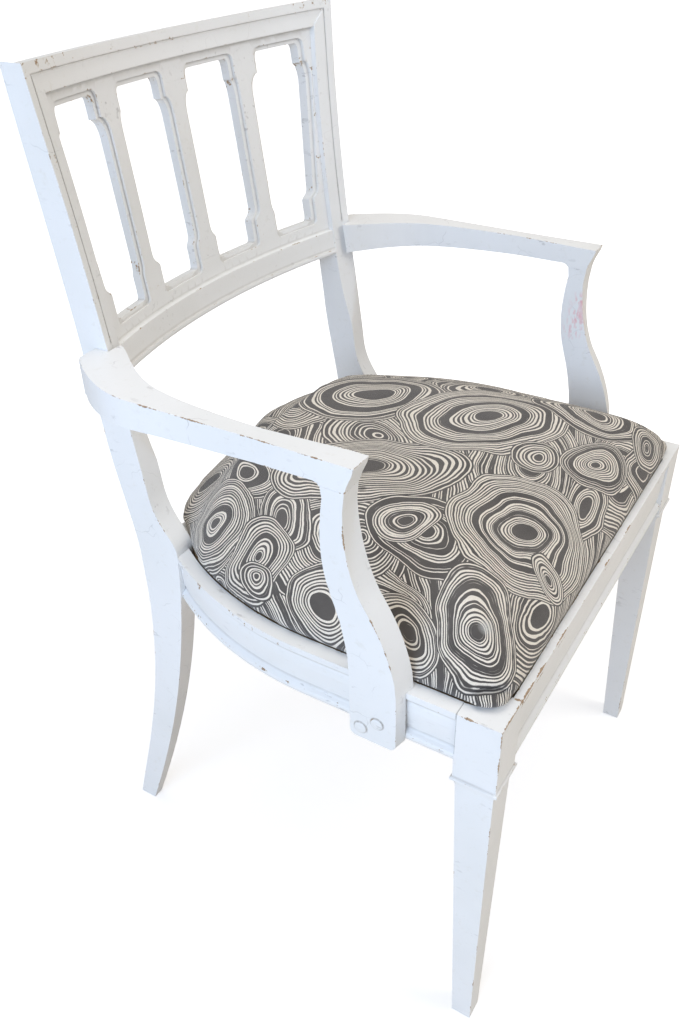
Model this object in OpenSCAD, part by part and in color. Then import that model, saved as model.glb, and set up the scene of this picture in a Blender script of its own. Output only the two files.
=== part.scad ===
// Open armchair of painted wood: pierced splat back curved in plan, sabre back legs, tapered front
// legs and an upholstered drop-in seat. The front faces -Y, the sitter's left is +X and the floor
// is z = 0. Lengths are in mm.

/* [Overall] */
// Height of the top of the back
height = 875; // [820:1:1050]
// Width across the arms
arm_span = 534; // [510:1:640]
// Distance from the front leg face to the heel of the back leg
leg_depth = 496; // [470:1:595]

/* [Seat frame] */
// Height of the top of the seat rails
seat_height = 435; // [420:1:460]
// Width across the front legs
front_width = 509; // [490:1:516]
// Depth of the side and back rails' section
rail_height = 56; // [45:1:65]
// Depth of the front rail's section
front_rail_height = 69; // [58:1:76]
// Thickness of the seat rails
rail_thick = 25; // [20:1:28]
// Radius of the side rails' sweep towards the back
sweep_radius = 345; // [320:1:380]
// Width of the rail top left showing beside the seat
side_lip = 15; // [12:1:18]
// Width of the front rail top left showing before the seat
front_lip = 8; // [6:1:12]

/* [Front legs] */
// Side of the square block at the top of the leg
leg_block = 40; // [36:1:46]
// Side of the square foot
foot_size = 21; // [17:1:25]
// Height of the square block
block_height = 74; // [70:1:82]
// Projection of the collar bead
bead_out = 1.8; // [1:0.1:3]

/* [Back legs] */
// Width of the leg and stile seen from the front
stile_width = 23; // [20:1:27]
// Half the distance across the outer faces at the seat
stile_out = 205; // [198:1:210]
// Outward flare of the stile at its top
stile_flare = 11.5; // [6:0.5:14]
// Width of the back leg's foot seen from the front
heel_width = 13; // [12:1:20]
// Backward lean of the back
rake = 7.5; // [6:0.5:9]

/* [Back] */
// Radius of the back's curve in plan
back_radius = 574; // [520:1:640]
// Height of the underside of the lower back rail
back_bottom = 615; // [600:1:640]
// Thickness of the moulded rails of the back
back_thick = 17.5; // [15:0.5:20]
// Setback of the field behind the raised moulding
field_setback = 5; // [3:0.5:6]
// Width of the raised moulding
frame_band = 24; // [20:0.5:26]
// Width of the sunk rim round each opening
rim_width = 4.5; // [3:0.5:6]
// Depth of the sunk rim round each opening
rim_depth = 3; // [2:0.5:4]

/* [Arms] */
// Height of the top of the arms
arm_height = 645; // [625:1:665]
// Width of the arm at the hand, seen from above
arm_width = 23; // [20:1:26]
// Height of the arm's section near the hand
arm_thick = 20; // [17:1:24]
// Thickness of the arm post above the rail
post_thick = 22; // [18:1:23]
// Diameter of the screw heads on the post
screw_head = 12; // [9:0.5:13]

/* [Seat] */
// Height of the cushion's crown above the rails
crown = 76; // [60:1:92]
// How far the cushion runs back between the back legs
cushion_back = 41; // [10:1:45]
// Thickness of the seat board
board_thick = 12; // [9:0.5:14]
// Radius of the seat's two front corners
corner_round = 30; // [20:1:38]
// Gap between the seat and the frame
seat_gap = 1.5; // [1:0.5:3]

/* [Hidden] */
$fn = 96;

paint = [0.90, 0.91, 0.92];
timber = [0.72, 0.58, 0.42];
steel = [0.62, 0.62, 0.60];
linen = [0.30, 0.29, 0.28];

half_front = front_width / 2;
rail_out = half_front - 0.5;
rail_bottom = seat_height - rail_height;
leg_y = 372;                          // depth at which the rails meet the back legs
back_y = 439;                         // depth of the stile's front at the top of the back
straight_to = leg_y - 182;            // where a side rail starts to sweep inwards
sweep_angle = 34;
arm_out = arm_span / 2;
arm_in = arm_out - arm_width;
post_top = arm_height - arm_thick - 3;
post_y = 80;
post_wide = 45;
big = 900;

// Panel of the back: s runs down the lean from the top, x runs across
panel_drop = (height - back_bottom) / cos(rake);
top_edge = 32;                        // sunk rim's top below the crest
bottom_edge = panel_drop - 38.5;      // sunk rim's foot above the lower rail's mould
flare_x = stile_out + stile_flare;
axis_in = sqrt(back_radius * back_radius - flare_x * flare_x);

// Half the overall depth, from the collar bead to the back of the crest
crest_back = back_y + (back_radius + back_thick - axis_in) * cos(rake);
mid_y = (crest_back - bead_out) / 2;

function bez(a, b, c, d, n) = [
  for (i = [0 : n]) let (t = i / n, u = 1 - t)
    u * u * u * a + 3 * u * u * t * b + 3 * u * t * t * c + t * t * t * d
];
function quad(cx, cy, rx, ry, from, to, n) = [
  for (i = [0 : n]) let (t = from + (to - from) * i / n) [cx + rx * cos(t), cy + ry * sin(t)]
];
function flip(pts) = [for (p = pts) [-p[0], p[1]]];
function back_to_front(pts) = [for (i = [len(pts) - 1 : -1 : 0]) pts[i]];

// Everything is drawn with y = 0 on the front legs' face, then centred on the floor
module placed() translate([0, -mid_y, 0]) children();
// Draws a profile given as [y, z] and gives it a width in x from x0 to x1
module side_view(x0, x1) translate([x0, 0, 0]) rotate([90, 0, 90]) linear_extrude(x1 - x0) children();
// Draws an outline given as [x, z] and gives it a depth in y from y0 to y1
module front_view(y0, y1) translate([0, y1, 0]) rotate([90, 0, 0]) linear_extrude(y1 - y0) children();
// Tilts the back's own frame: its y runs backwards and its z up the lean from the top
module leaned() translate([0, back_y, height]) rotate([-rake, 0, 0]) children();

// ---- Back legs ----

heel = leg_depth;
leg_front = concat(
  bez([heel - 22, 0], [heel - 75, 138], [378, 276], [368, 414], 14),
  bez([367, 436], [366, 453], [387, 462], [393, 495], 10),
  bez([396, 520], [398, 535], [400, 550], [402.8, 570], 4),
  [[back_y - 19, height - 175], [back_y - 7, height - 75], [back_y, height]]
);
leg_back = concat(
  bez([heel, 0], [heel - 38, 125], [416, 250], [416, 375], 14),
  bez([417, 425], [419, 462], [433, 510], [437, 560], 10),
  bez([440, 585], [448, 660], [461, 760], [back_y + 24, height], 12)
);
stile_outer = concat(
  [[stile_out - 3, 0], [stile_out, 300]],
  bez([stile_out, 640], [stile_out, 740], [stile_out + stile_flare * 0.55, height - 65],
      [stile_out + stile_flare, height], 12)
);
stile_inner = concat(
  [[stile_out - 3 - heel_width, 0], [stile_out - stile_width, rail_bottom - 6]],
  bez([stile_out - stile_width, 640], [stile_out - stile_width, 740],
      [stile_out - stile_width + stile_flare * 0.5, height - 65],
      [stile_out + stile_flare - frame_band, height - frame_band], 12)
);

module stile_outline() polygon(concat(stile_outer, back_to_front(stile_inner)));

// Hollow front of the back, which runs out below the lower rail
module back_hollow() leaned() translate([0, -axis_in, 0]) rotate([0, 0, 30]) rotate_extrude(angle = 120)
  polygon(concat(
    [[0, 40], [back_radius, 40]],
    bez([back_radius, 610 - height], [back_radius, 560 - height],
        [back_radius - 7, 540 - height], [back_radius - 13, 495 - height], 10),
    [[0, 495 - height]]
  ));

// Fine groove near the stile's outer edge, in line with the crest's groove
module stile_groove() intersection() {
  front_view(back_y - 90, back_y + 90) polygon(concat(
    [for (p = stile_outer) if (p[1] >= 640) [p[0] - 8.6, max(p[1], arm_height + 3)]],
    back_to_front([for (p = stile_outer) if (p[1] >= 640) [p[0] - 9.8, max(p[1], arm_height + 3)]])
  ));
  shell(0, 1.1);
}
// Slice of the back between two setbacks behind its front face
module shell(g0, g1) leaned() translate([0, -axis_in, -panel_drop - 60]) rotate([0, 0, 30])
  rotate_extrude(angle = 120)
  polygon([[back_radius - (g0 == 0 ? 9 : -g0), 0], [back_radius + g1, 0],
           [back_radius + g1, panel_drop + 110], [back_radius - (g0 == 0 ? 9 : -g0), panel_drop + 110]]);

module rear_leg() color(paint) difference() {
  intersection() {
    side_view(stile_out - 60, flare_x + 10) polygon(concat(leg_front, back_to_front(leg_back)));
    front_view(300, 560) stile_outline();
  }
  back_hollow();
  stile_groove();
}
module left_rear_leg() placed() rear_leg();
module right_rear_leg() mirror([1, 0, 0]) left_rear_leg();

// ---- Moulded back between the stiles ----

// Space between the stiles, with mitres at the top corners
module between_stiles() front_view(300, 600) polygon(concat(
  back_to_front([[flare_x, height]]), back_to_front(stile_inner), flip(stile_inner),
  [[-flare_x, height], [-flare_x, height + 30], [flare_x, height + 30]]
));

// Section of the crest and of the lower rail, as [setback, s]
crest_face = [
  [0, 0], [0, 8.4], [1.1, 9], [0, 9.6], [0.7, 12], [1, 17], [0.5, frame_band - 0.8],
  [0.8, frame_band], [field_setback - 0.8, frame_band + 0.8], [field_setback, frame_band + 1.8]
];
lower_face = [
  [field_setback, panel_drop - 28.4], [field_setback - 0.8, panel_drop - 27.6],
  [1, panel_drop - 26.6], [0.6, panel_drop - 26], [0.6, panel_drop - 6], [0, panel_drop - 5],
  [-1, panel_drop - 4.4], [-1.4, panel_drop - 3.2], [-1.4, panel_drop - 1.2], [-0.8, panel_drop]
];
module moulded(face) translate([0, -axis_in, 0]) rotate([0, 0, 60]) rotate_extrude(angle = 60)
  polygon(concat(
    [for (p = face) [back_radius + p[0], -p[1]]],
    [[back_radius + back_thick, -face[len(face) - 1][1]], [back_radius + back_thick, -face[0][1]]]
  ));

// One side of an opening from its head to its foot: straight head, rounded shoulder, long
// straight shaft, and a notch above the foot. dir is +1 when the opening lies towards +x.
shoulder = top_edge + 23;
foot_notch = bottom_edge - 27;
function opening_side(head, shaft, foot, dir, d) = concat(
  quad(head + dir * (7 + d * 0.2), top_edge + 7 + d * 0.9, 7 - d * 0.8, 7 - d * 0.1,
       270, dir > 0 ? 180 : 360, 5),
  [[head + dir * d, shoulder + d * 0.3]],
  quad(head + dir * d, shoulder + 17 + d * 0.3, abs(head - shaft), 17,
       270, dir > 0 ? 180 : 360, 6),
  [[shaft + dir * d, foot_notch - 16]],
  bez([shaft + dir * d, foot_notch - 13], [shaft + dir * d, foot_notch - 4],
      [foot + dir * (d - 0.6), foot_notch - 4], [foot + dir * d, foot_notch], 5),
  quad(foot + dir * (6 + d * 0.2), bottom_edge - 6 - d * 0.9, 6 - d * 0.8, 6 - d * 0.1,
       dir > 0 ? 180 : 0, 90, 5)
);
// Opening outline in x and s, its sides given as [head, shaft, foot], shrunk by d
module opening(near, far, d) {
  pts = concat(
    opening_side(near[0], near[1], near[2], 1, d),
    back_to_front(opening_side(far[0], far[1], far[2], -1, d))
  );
  polygon([for (p = pts) [p[0], -p[1]]]);
}
inner_near = [16, 9, 14.5];
inner_far = [85.5, 88.5, 80];
outer_near = [114.5, 104.5, 107];
outer_far = [180.5, 175.5, 167];
module openings(d) for (side = [0, 1]) mirror([side, 0, 0]) {
  opening(inner_near, inner_far, d);
  opening(outer_near, outer_far, d);
}
// Takes the openings and their sunk rims out of a piece of the field
module pierced() difference() {
  children();
  front_view(-60, 120) openings(rim_width);
  intersection() {
    front_view(-60, 120) openings(0);
    translate([0, -axis_in, -panel_drop]) cylinder(r = back_radius + field_setback + rim_depth, h = big);
  }
}
head_s = top_edge + 12;
foot_s = bottom_edge - 11;

module crest_rail() placed() color(paint) intersection() {
  leaned() pierced() union() {
    moulded(crest_face);
    moulded([[field_setback, frame_band + 1.8], [field_setback, head_s]]);
  }
  between_stiles();
}
module lower_back_rail() placed() color(paint) intersection() {
  leaned() pierced() union() {
    moulded([[field_setback, foot_s], [field_setback, panel_drop - 28.4]]);
    moulded(lower_face);
  }
  between_stiles();
}
// Piece of the field between the rails, from x0 to x1
module splat(x0, x1) color(paint) intersection() {
  leaned() pierced() intersection() {
    moulded([[field_setback, head_s], [field_setback, foot_s]]);
    front_view(-60, 120) translate([x0, -big / 2]) square([x1 - x0, big]);
  }
  between_stiles();
}
module splat_centre() placed() splat(-40, 40);
module splat_left() placed() splat(50, 140);
module splat_right() mirror([1, 0, 0]) splat_left();
module side_splat_left() placed() splat(145, 230);
module side_splat_right() mirror([1, 0, 0]) side_splat_left();

// ---- Arms and their posts ----

// Arm seen from above: straight from the hand, then swept in round the stile
arm_plan = concat(
  [[arm_out - 0.5, 110], [arm_out - 1.5, 215], [arm_out - 0.5, 270], [arm_out, 315]],
  bez([arm_out, 340], [arm_out - 1, 368], [arm_out - 16, 397], [arm_out - 35.6, 421.4], 10),
  quad(arm_out - 48, 413, 16, 15, 36, 90, 6),
  [[190, 428], [190, 412]],
  bez([191, 408], [197, 397], [arm_in - 22, 372], [arm_in - 9, 340], 8),
  bez([arm_in - 5, 328], [arm_in + 2, 300], [arm_in + 5, 262], [arm_in + 5.5, 215], 6),
  [[arm_in + 2, 165], [arm_in, 145], [arm_in, 110]]
);
// Arm seen from the side, with a short stub for the post under the hand
arm_side = concat(
  [[126, arm_height], [127.5, arm_height - 6], [131.5, arm_height - 15], [134, post_top]],
  [[156, post_top], [157.5, post_top + 2], [161, arm_height - arm_thick]],
  bez([218, arm_height - arm_thick - 1.5], [290, arm_height - 24], [350, arm_height - 26],
      [402, arm_height - 32], 6),
  bez([410, arm_height - 33], [420, arm_height - 34], [428, arm_height - 32], [432, arm_height - 24], 6),
  [[434, arm_height - 14], [431, arm_height - 3], [427, arm_height]]
);
module arm() color(paint) difference() {
  intersection() {
    translate([0, 0, arm_height - 80]) linear_extrude(100) polygon(arm_plan);
    side_view(150, arm_out + 10) polygon(arm_side);
  }
  intersection() {
    side_view(stile_out - 60, flare_x + 10) polygon(concat(leg_front, back_to_front(leg_back)));
    front_view(300, 560) stile_outline();
  }
}
module left_arm() placed() arm();
module right_arm() mirror([1, 0, 0]) left_arm();

post_front = concat(
  [[134, post_top]],
  bez([136, 604], [136.5, 566], [130, 544], [121, 526], 8),
  bez([112, 511], [101, 492], [94, 472], [90, 452], 6),
  [[post_y + 8.5, 436], [post_y + 8, 400], [post_y + 8, rail_bottom + 2]]
);
post_rear = concat(
  [[155, post_top]],
  bez([153.5, 612], [158.5, 580], [158, 550], [149, 524], 8),
  bez([144, 509], [137, 486], [133, 463], [post_y + 8 + post_wide, 440], 6),
  [[post_y + 8 + post_wide, rail_bottom + 2]]
);
post_foot = concat(
  quad(post_y + post_wide + 1, rail_bottom + 2, 7, 7, 0, -90, 5),
  quad(post_y + 15, rail_bottom + 2, 7, 7, 270, 180, 5)
);
slant_foot = quad(post_y + 15.5, rail_bottom + 2, 7, 7, 270, 180, 5);
screw_at = [[post_y + 26, rail_bottom + 20], [post_y + 42, rail_bottom + 8]];
screw_len = 34;
// The front face is planed at a slight angle, so that its inner edge stands further forward
slant = 14;
slant_front = concat(
  [[141, post_top]],
  bez([141, 604], [139, 570], [131, 544], [121.5, 526], 8),
  bez([112.5, 511], [101.5, 492], [94.5, 472], [90.5, 452], 6),
  [[post_y + 9, 436], [post_y + 8.5, 400], [post_y + 8.5, rail_bottom + 2]]
);
module post() color(paint) difference() {
  union() {
    side_view(arm_out - post_thick, arm_out - 0.5)
      polygon(concat(post_rear, post_foot, back_to_front(post_front)));
    intersection() {
      translate([arm_out, 0, 0]) rotate([0, 0, slant]) side_view(-60, 30)
        polygon([for (p = concat([[150, post_top], [115, 440], [post_y + 30, rail_bottom - 5]],
                                 slant_foot, back_to_front(slant_front))) [p[0] * cos(slant), p[1]]]);
      translate([arm_out - post_thick, 0, 0]) cube([post_thick - 0.5, big, big]);
    }
  }
  translate([arm_out - post_thick - 1, 0, rail_bottom - 50])
    cube([rail_out - arm_out + post_thick + 1, 200, seat_height - rail_bottom + 50]);
  side_view(150, arm_out + 10) polygon(arm_side);
  for (p = screw_at) screw_hole(p);
}
// Screw through the post into the rail: domed head on the post's face
module screw_hole(p) translate([arm_out - screw_len, p[0], p[1]]) rotate([0, 90, 0])
  cylinder(d = 5, h = screw_len + 2);
module post_screws() color(steel) for (p = screw_at) translate([arm_out - screw_len, p[0], p[1]])
  rotate([0, 90, 0]) rotate_extrude() polygon(concat(
    [[0, 0], [2.5, 0], [2.5, screw_len - 0.5], [screw_head / 2, screw_len - 0.5]],
    quad(0, screw_len - 0.5 + 0.6, screw_head / 2, 1.2, 0, 90, 5)
  ));
module left_arm_post() placed() post();
module right_arm_post() mirror([1, 0, 0]) left_arm_post();
module left_post_screws() placed() post_screws();
module right_post_screws() mirror([1, 0, 0]) left_post_screws();

// ---- Seat rails ----

// Moulded rail section as [outward, z]: fillet, cavetto, swelling band and bottom bead, with the
// rebate for the seat along the inner top edge
rebate_drop = board_thick + 4;
function rail_section(low, lip) = [
  [0, seat_height], [0, seat_height - 6.5], [-1.2, seat_height - 8], [-3.2, seat_height - 10.5],
  [-3.4, seat_height - 12], [-2.8, seat_height - 15], [-2.6, seat_height - 22],
  [-3.2, (seat_height + low) / 2], [-4.6, low + 16], [-6, low + 11.5],
  [-4.2, low + 9.5], [-1.4, low + 7.6], [-0.4, low + 5.6], [-0.6, low + 3], [-1.8, low],
  [-rail_thick, low], [-rail_thick, seat_height - rebate_drop],
  [-lip, seat_height - rebate_drop], [-lip, seat_height]
];
module side_rail() color(paint) difference() {
  union() {
    translate([rail_out, leg_block, 0]) rotate([90, 0, 180]) mirror([1, 0, 0])
      linear_extrude(straight_to - leg_block) polygon(rail_section(rail_bottom, side_lip));
    translate([rail_out - sweep_radius, straight_to, 0]) rotate_extrude(angle = sweep_angle)
      polygon([for (p = rail_section(rail_bottom, side_lip)) [sweep_radius + p[0], p[1]]]);
  }
  // the rail is cut square against the back leg
  intersection() {
    side_view(stile_out - 60, flare_x + 10) polygon(concat(leg_front, back_to_front(leg_back)));
    front_view(300, 560) stile_outline();
  }
  translate([0, leg_y + 10, 0]) cube([big, big, big]);
  for (p = screw_at) screw_hole(p);
}
module left_side_rail() placed() side_rail();
module right_side_rail() mirror([1, 0, 0]) left_side_rail();

module front_rail() placed() color(paint) translate([-half_front + leg_block, 0, 0])
  rotate([90, 0, 90]) linear_extrude(front_width - 2 * leg_block)
  polygon([for (p = rail_section(seat_height - front_rail_height, front_lip)) [-p[0], p[1]]]);

rear_y0 = leg_y + 4;
module rear_rail() placed() color(paint)
  translate([-stile_out + stile_width, rear_y0, rail_bottom]) cube([2 * (stile_out - stile_width), rail_thick, rail_height]);

// ---- Front legs ----

block_bottom = seat_height - block_height;
shaft_top = block_bottom - 11;
shaft_in = 2.2;
module front_leg() color(paint) difference() {
  union() {
    // square block, with the corner rebated for the seat
    difference() {
      translate([half_front - leg_block, 0, block_bottom]) cube([leg_block, leg_block, block_height]);
      translate([0, 0, seat_height - rebate_drop]) linear_extrude(rebate_drop + 1) polygon(concat(
        [[half_front - big / 2, big / 2], [half_front - big / 2, front_lip]],
        quarter(half_front - side_lip, front_lip, corner_round + seat_gap),
        [[half_front - side_lip, big / 2]]));
    }
    // collar bead and the cove under it
    intersection() {
      front_view(-5, leg_block + 5) polygon(collar_side(half_front - leg_block, half_front));
      side_view(half_front - leg_block - 5, half_front + 5) polygon(collar_side(0, leg_block));
    }
    // shaft, plumb outside and tapered inside
    intersection() {
      front_view(-5, leg_block + 5) polygon([
        [half_front - shaft_in, shaft_top], [half_front - 0.5, 0], [half_front - foot_size, 0],
        [half_front - leg_block + shaft_in, shaft_top]
      ]);
      side_view(half_front - leg_block - 5, half_front + 5) polygon([
        [shaft_in, shaft_top], [0.5, 0], [foot_size, 0], [leg_block - shaft_in, shaft_top]
      ]);
    }
  }
}
function collar_side(a, b) = [
  [a, block_bottom], [a - bead_out, block_bottom - 1], [a - bead_out, block_bottom - 3.4],
  [a, block_bottom - 4.6], [a + 1, block_bottom - 6.5], [a + shaft_in, shaft_top],
  [b - shaft_in, shaft_top], [b - 1, block_bottom - 6.5], [b, block_bottom - 4.6],
  [b + bead_out, block_bottom - 3.4], [b + bead_out, block_bottom - 1], [b, block_bottom]
];
module left_front_leg() placed() front_leg();
module right_front_leg() mirror([1, 0, 0]) left_front_leg();

// ---- Corner blocks inside the frame ----

block_low = rail_bottom + 6;
block_tall = 32;
block_screw_len = 24;
block_leg = 38;                       // length of a block's arm along each rail
front_inner = [rail_out - rail_thick, rail_thick];
// Middle of the slanted face, and the way from it to the front leg's corner
front_screw_x = (front_inner[0] + half_front - leg_block - block_leg) / 2;
front_screw_y = (leg_block + block_leg + front_inner[1]) / 2;
front_reach = (half_front - leg_block - front_screw_x + front_screw_y - leg_block) / sqrt(2);
module front_block() color(timber) difference() {
  translate([0, 0, block_low]) linear_extrude(block_tall) polygon([
    [front_inner[0], leg_block + block_leg], [front_inner[0], leg_block], [half_front - leg_block, leg_block],
    [half_front - leg_block, front_inner[1]], [half_front - leg_block - block_leg, front_inner[1]]
  ]);
  for (z = block_screw_z) front_block_screw(z);
}
block_screw_z = [block_low + 10, block_low + 22];
module front_block_screw(z)
  translate([front_screw_x, front_screw_y, z]) rotate([0, 90, -45]) cylinder(d = 4.5, h = block_screw_len);
module front_left_block() placed() front_block();
module front_right_block() mirror([1, 0, 0]) front_left_block();

rear_in = stile_out - stile_width;
rear_block_y = rear_y0;
module rear_block() color(timber) difference() {
  translate([0, 0, block_low]) linear_extrude(block_tall) polygon([
    [rear_in - 2, rear_block_y], [rear_in - 50, rear_block_y], [rear_in - 8, rear_block_y - 42],
    [rear_in + 2, rear_block_y - 42], [rear_in + 2, rear_block_y - 8]
  ]);
  side_rail_body();
  for (z = block_screw_z) rear_block_screw(z);
}
module side_rail_body() translate([rail_out - sweep_radius, straight_to, 0])
  rotate_extrude(angle = sweep_angle + 4) translate([sweep_radius - rail_thick - 0.3, rail_bottom - 5])
  square([rail_thick, rail_height]);
module rear_block_screw(z) translate([rear_in - 29, rear_block_y - 21, z])
  rotate([0, 90, 45]) cylinder(d = 4.5, h = block_screw_len);
module rear_left_block() placed() rear_block();
module rear_right_block() mirror([1, 0, 0]) rear_left_block();

// Screws through each corner block towards its leg, heads on the block's slanted face
module block_screws() placed() color(steel) for (side = [0, 1]) mirror([side, 0, 0])
  for (z = block_screw_z) {
    translate([front_screw_x, front_screw_y, z]) rotate([0, 90, -45]) corner_screw(front_reach - 0.4);
    translate([rear_in - 29, rear_block_y - 21, z]) rotate([0, 90, 45]) corner_screw(block_screw_len - 8);
  }
module corner_screw(len) rotate_extrude() polygon([
  [0, -1.5], [2.6, -1.5], [4, 0], [2.25, 0], [2.25, len], [0, len]
]);

// ---- Drop-in seat ----

seat_in = rail_out - side_lip - seat_gap;
seat_front = front_lip + seat_gap;
seat_rear = rear_y0 - seat_gap;
lip_radius = sweep_radius - side_lip - seat_gap;
function sweep_x(y, r) = rail_out - sweep_radius + sqrt(r * r - pow(max(0, y - straight_to), 2));
// Rounded front corner whose sides meet at [x, y]
function quarter(x, y, r) = [for (a = [0 : 18 : 90]) [x - r + r * sin(a), y + r - r * cos(a)]];
// Outline of the seat, drawn in by d all round
function seat_outline(d) = concat(
  quarter(seat_in - d, seat_front + d, max(corner_round - d, 4)),
  [for (y = [straight_to : 20 : 351]) [sweep_x(y, lip_radius - d), y]],
  [[rear_in + 8.3 - d, leg_y - 14], [rear_in - 4.7 - d, seat_rear - d]]   // clear of the back legs
);
function whole(pts) = concat(
  [for (p = pts) if (p[0] > 0) p],
  back_to_front(flip([for (p = pts) if (p[0] > 0) p]))
);
seat_z = seat_height - rebate_drop;
seat_screw_at = [[seat_in - 50, 60], [seat_in - 80, 330]];
module seat_board() placed() color(timber) difference() {
  translate([0, 0, seat_z]) linear_extrude(board_thick) polygon(whole(seat_outline(1.5)));
  translate([0, 190, seat_z - 1]) for (x = [-150, -50, 50, 150], y = [-100, 0, 100])
    translate([x, y, 0]) cylinder(d = 10, h = board_thick + 2);
  for (side = [-1, 1], p = seat_screw_at) translate([side * p[0], p[1], seat_z - 1]) cylinder(d = 4, h = 20);
}
module seat_screws() placed() color(steel) for (side = [-1, 1], p = seat_screw_at)
  translate([side * p[0], p[1], seat_z]) rotate_extrude() polygon([
    [0, -2.2], [3, -2.2], [4.2, 0], [2, 0], [2, board_thick - 2], [0, board_thick - 2]
  ]);

// Cushion: a domed solid of stacked slabs following the seat outline, and its rounded back, which
// lies on the back rail between the back legs
dome = [[5, 0.27], [14, 0.36], [32, 0.50], [60, 0.68], [95, 0.86], [140, 0.98]];   // inset, share of the crown
back_inset = [[0, 0.16, 0], [7, 0.27, 2], [45, 0.40, 2], [80, 0.51, 0], [130, 0.61, -3], [110, 0.78, -26]];
back_half = rear_in - 6;
// Outline of the rounded back, drawn in by b[0] at the sides and out by b[2] at the back
function back_outline(b) = let (x = back_half - b[0], y = leg_y + cushion_back - 2 + b[2]) [
  [-x, leg_y - 60], [x, leg_y - 60], [x, y - 36], [x - 12, y - 23], [max(0.2, x - 34), y - 8], [max(0.1, x - 68), y]
];
module seat_cushion() placed() color(linen) union() {
  hull() {
    translate([0, 0, seat_z + board_thick + 0.3]) linear_extrude(18) polygon(whole(seat_outline(1.2)));
    for (d = dome) translate([0, 0, seat_height + crown * d[1]]) linear_extrude(1) polygon(whole(seat_outline(d[0])));
  }
  hull() {
    translate([0, 0, seat_height + 0.3]) linear_extrude(1) polygon(whole(back_outline(back_inset[0])));
    for (b = back_inset) translate([0, 0, seat_height + crown * b[1]]) linear_extrude(1) polygon(whole(back_outline(b)));
  }
}

right_rear_leg();
left_rear_leg();
crest_rail();
lower_back_rail();
splat_right();
splat_centre();
splat_left();
side_splat_right();
side_splat_left();
right_arm();
left_arm();
right_arm_post();
left_arm_post();
right_post_screws();
left_post_screws();
front_rail();
rear_rail();
right_side_rail();
left_side_rail();
right_front_leg();
left_front_leg();
front_right_block();
front_left_block();
rear_right_block();
rear_left_block();
block_screws();
seat_board();
seat_screws();
seat_cushion();
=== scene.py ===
import math

import bmesh
import bpy
from mathutils import Matrix, Vector, noise
from mathutils.bvhtree import BVHTree
from mathutils.kdtree import KDTree


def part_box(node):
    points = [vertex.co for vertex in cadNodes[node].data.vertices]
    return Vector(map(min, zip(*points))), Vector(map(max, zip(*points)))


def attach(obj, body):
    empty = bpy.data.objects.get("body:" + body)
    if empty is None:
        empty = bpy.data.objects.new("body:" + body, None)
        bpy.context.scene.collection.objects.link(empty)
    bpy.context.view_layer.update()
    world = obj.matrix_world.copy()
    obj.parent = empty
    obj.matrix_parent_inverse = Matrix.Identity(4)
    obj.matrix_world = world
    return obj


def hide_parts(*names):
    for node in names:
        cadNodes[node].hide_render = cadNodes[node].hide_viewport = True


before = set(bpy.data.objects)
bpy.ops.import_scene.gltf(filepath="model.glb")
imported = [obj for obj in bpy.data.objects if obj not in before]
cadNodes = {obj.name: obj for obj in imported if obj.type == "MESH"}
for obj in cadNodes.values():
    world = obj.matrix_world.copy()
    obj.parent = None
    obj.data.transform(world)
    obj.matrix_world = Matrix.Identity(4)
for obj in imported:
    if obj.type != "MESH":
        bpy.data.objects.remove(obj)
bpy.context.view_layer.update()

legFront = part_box("right_front_leg")[0].y + 0.0018   # plane of the front legs' faces
scene = bpy.context.scene
print("frame loaded:", len(cadNodes), "nodes")


cameraSettings = {
    "place": (-0.7435, -0.4123, 0.9953),
    "yaw": 58.1505,
    "pitch": 35.2716,
    "roll": -1.1512,
    "lens": 33.036,
    "shiftX": -0.00421,
    "shiftY": 0.00999,
}


def makeCamera(settings):
    yaw, pitch, roll = (math.radians(settings[key]) for key in ("yaw", "pitch", "roll"))
    forward = Vector((math.sin(yaw) * math.cos(pitch), math.cos(yaw) * math.cos(pitch), -math.sin(pitch)))
    right = Vector((math.cos(yaw), -math.sin(yaw), 0))
    up = right.cross(forward)
    across = math.cos(roll) * right + math.sin(roll) * up
    upright = -math.sin(roll) * right + math.cos(roll) * up
    lens = bpy.data.cameras.new("studioCamera")
    lens.lens = settings["lens"]
    lens.sensor_width = 36
    lens.shift_x = settings["shiftX"]
    lens.shift_y = settings["shiftY"]
    lens.clip_start = 0.05
    camera = bpy.data.objects.new("studioCamera", lens)
    turned = Matrix((across, upright, -forward)).transposed().to_4x4()
    camera.matrix_world = Matrix.Translation(settings["place"]) @ turned
    scene.collection.objects.link(camera)
    scene.camera = camera


makeCamera(cameraSettings)

roomSettings = {
    "lamps": {   # power, colour, place and size
        "keyLight": (47, (0.60, 0.76, 1.0), (-2.4, -0.1, 1.35), 1.9),
        "fillLight": (33, (1.0, 0.945, 0.85), (0.7, -2.4, 2.5), 1.6),
        "topLight": (22, (1.0, 0.95, 0.86), (0.1, 0.2, 2.9), 1.8),
    },
    "aim": (0, 0, 0.45),
    "ambient": 0.40, "ambientColor": (1.0, 0.98, 0.98),
    "floorColor": (0.76, 0.71, 0.64, 1), "floorShown": (0.78, 0.78, 0.78, 1),
    "floorRadius": 14, "floorDrop": 0.0004, "underFeet": 0.002,
}


def addLamp(name, power, color, place, size):
    lamp = bpy.data.lights.new(name, "AREA")
    lamp.energy = power
    lamp.color = color
    lamp.size = size
    holder = bpy.data.objects.new(name, lamp)
    holder.location = place
    aim = Vector(roomSettings["aim"]) - Vector(place)
    holder.rotation_euler = aim.to_track_quat("-Z", "Y").to_euler()
    scene.collection.objects.link(holder)


for lampName, values in roomSettings["lamps"].items():
    addLamp(lampName, *values)


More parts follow.
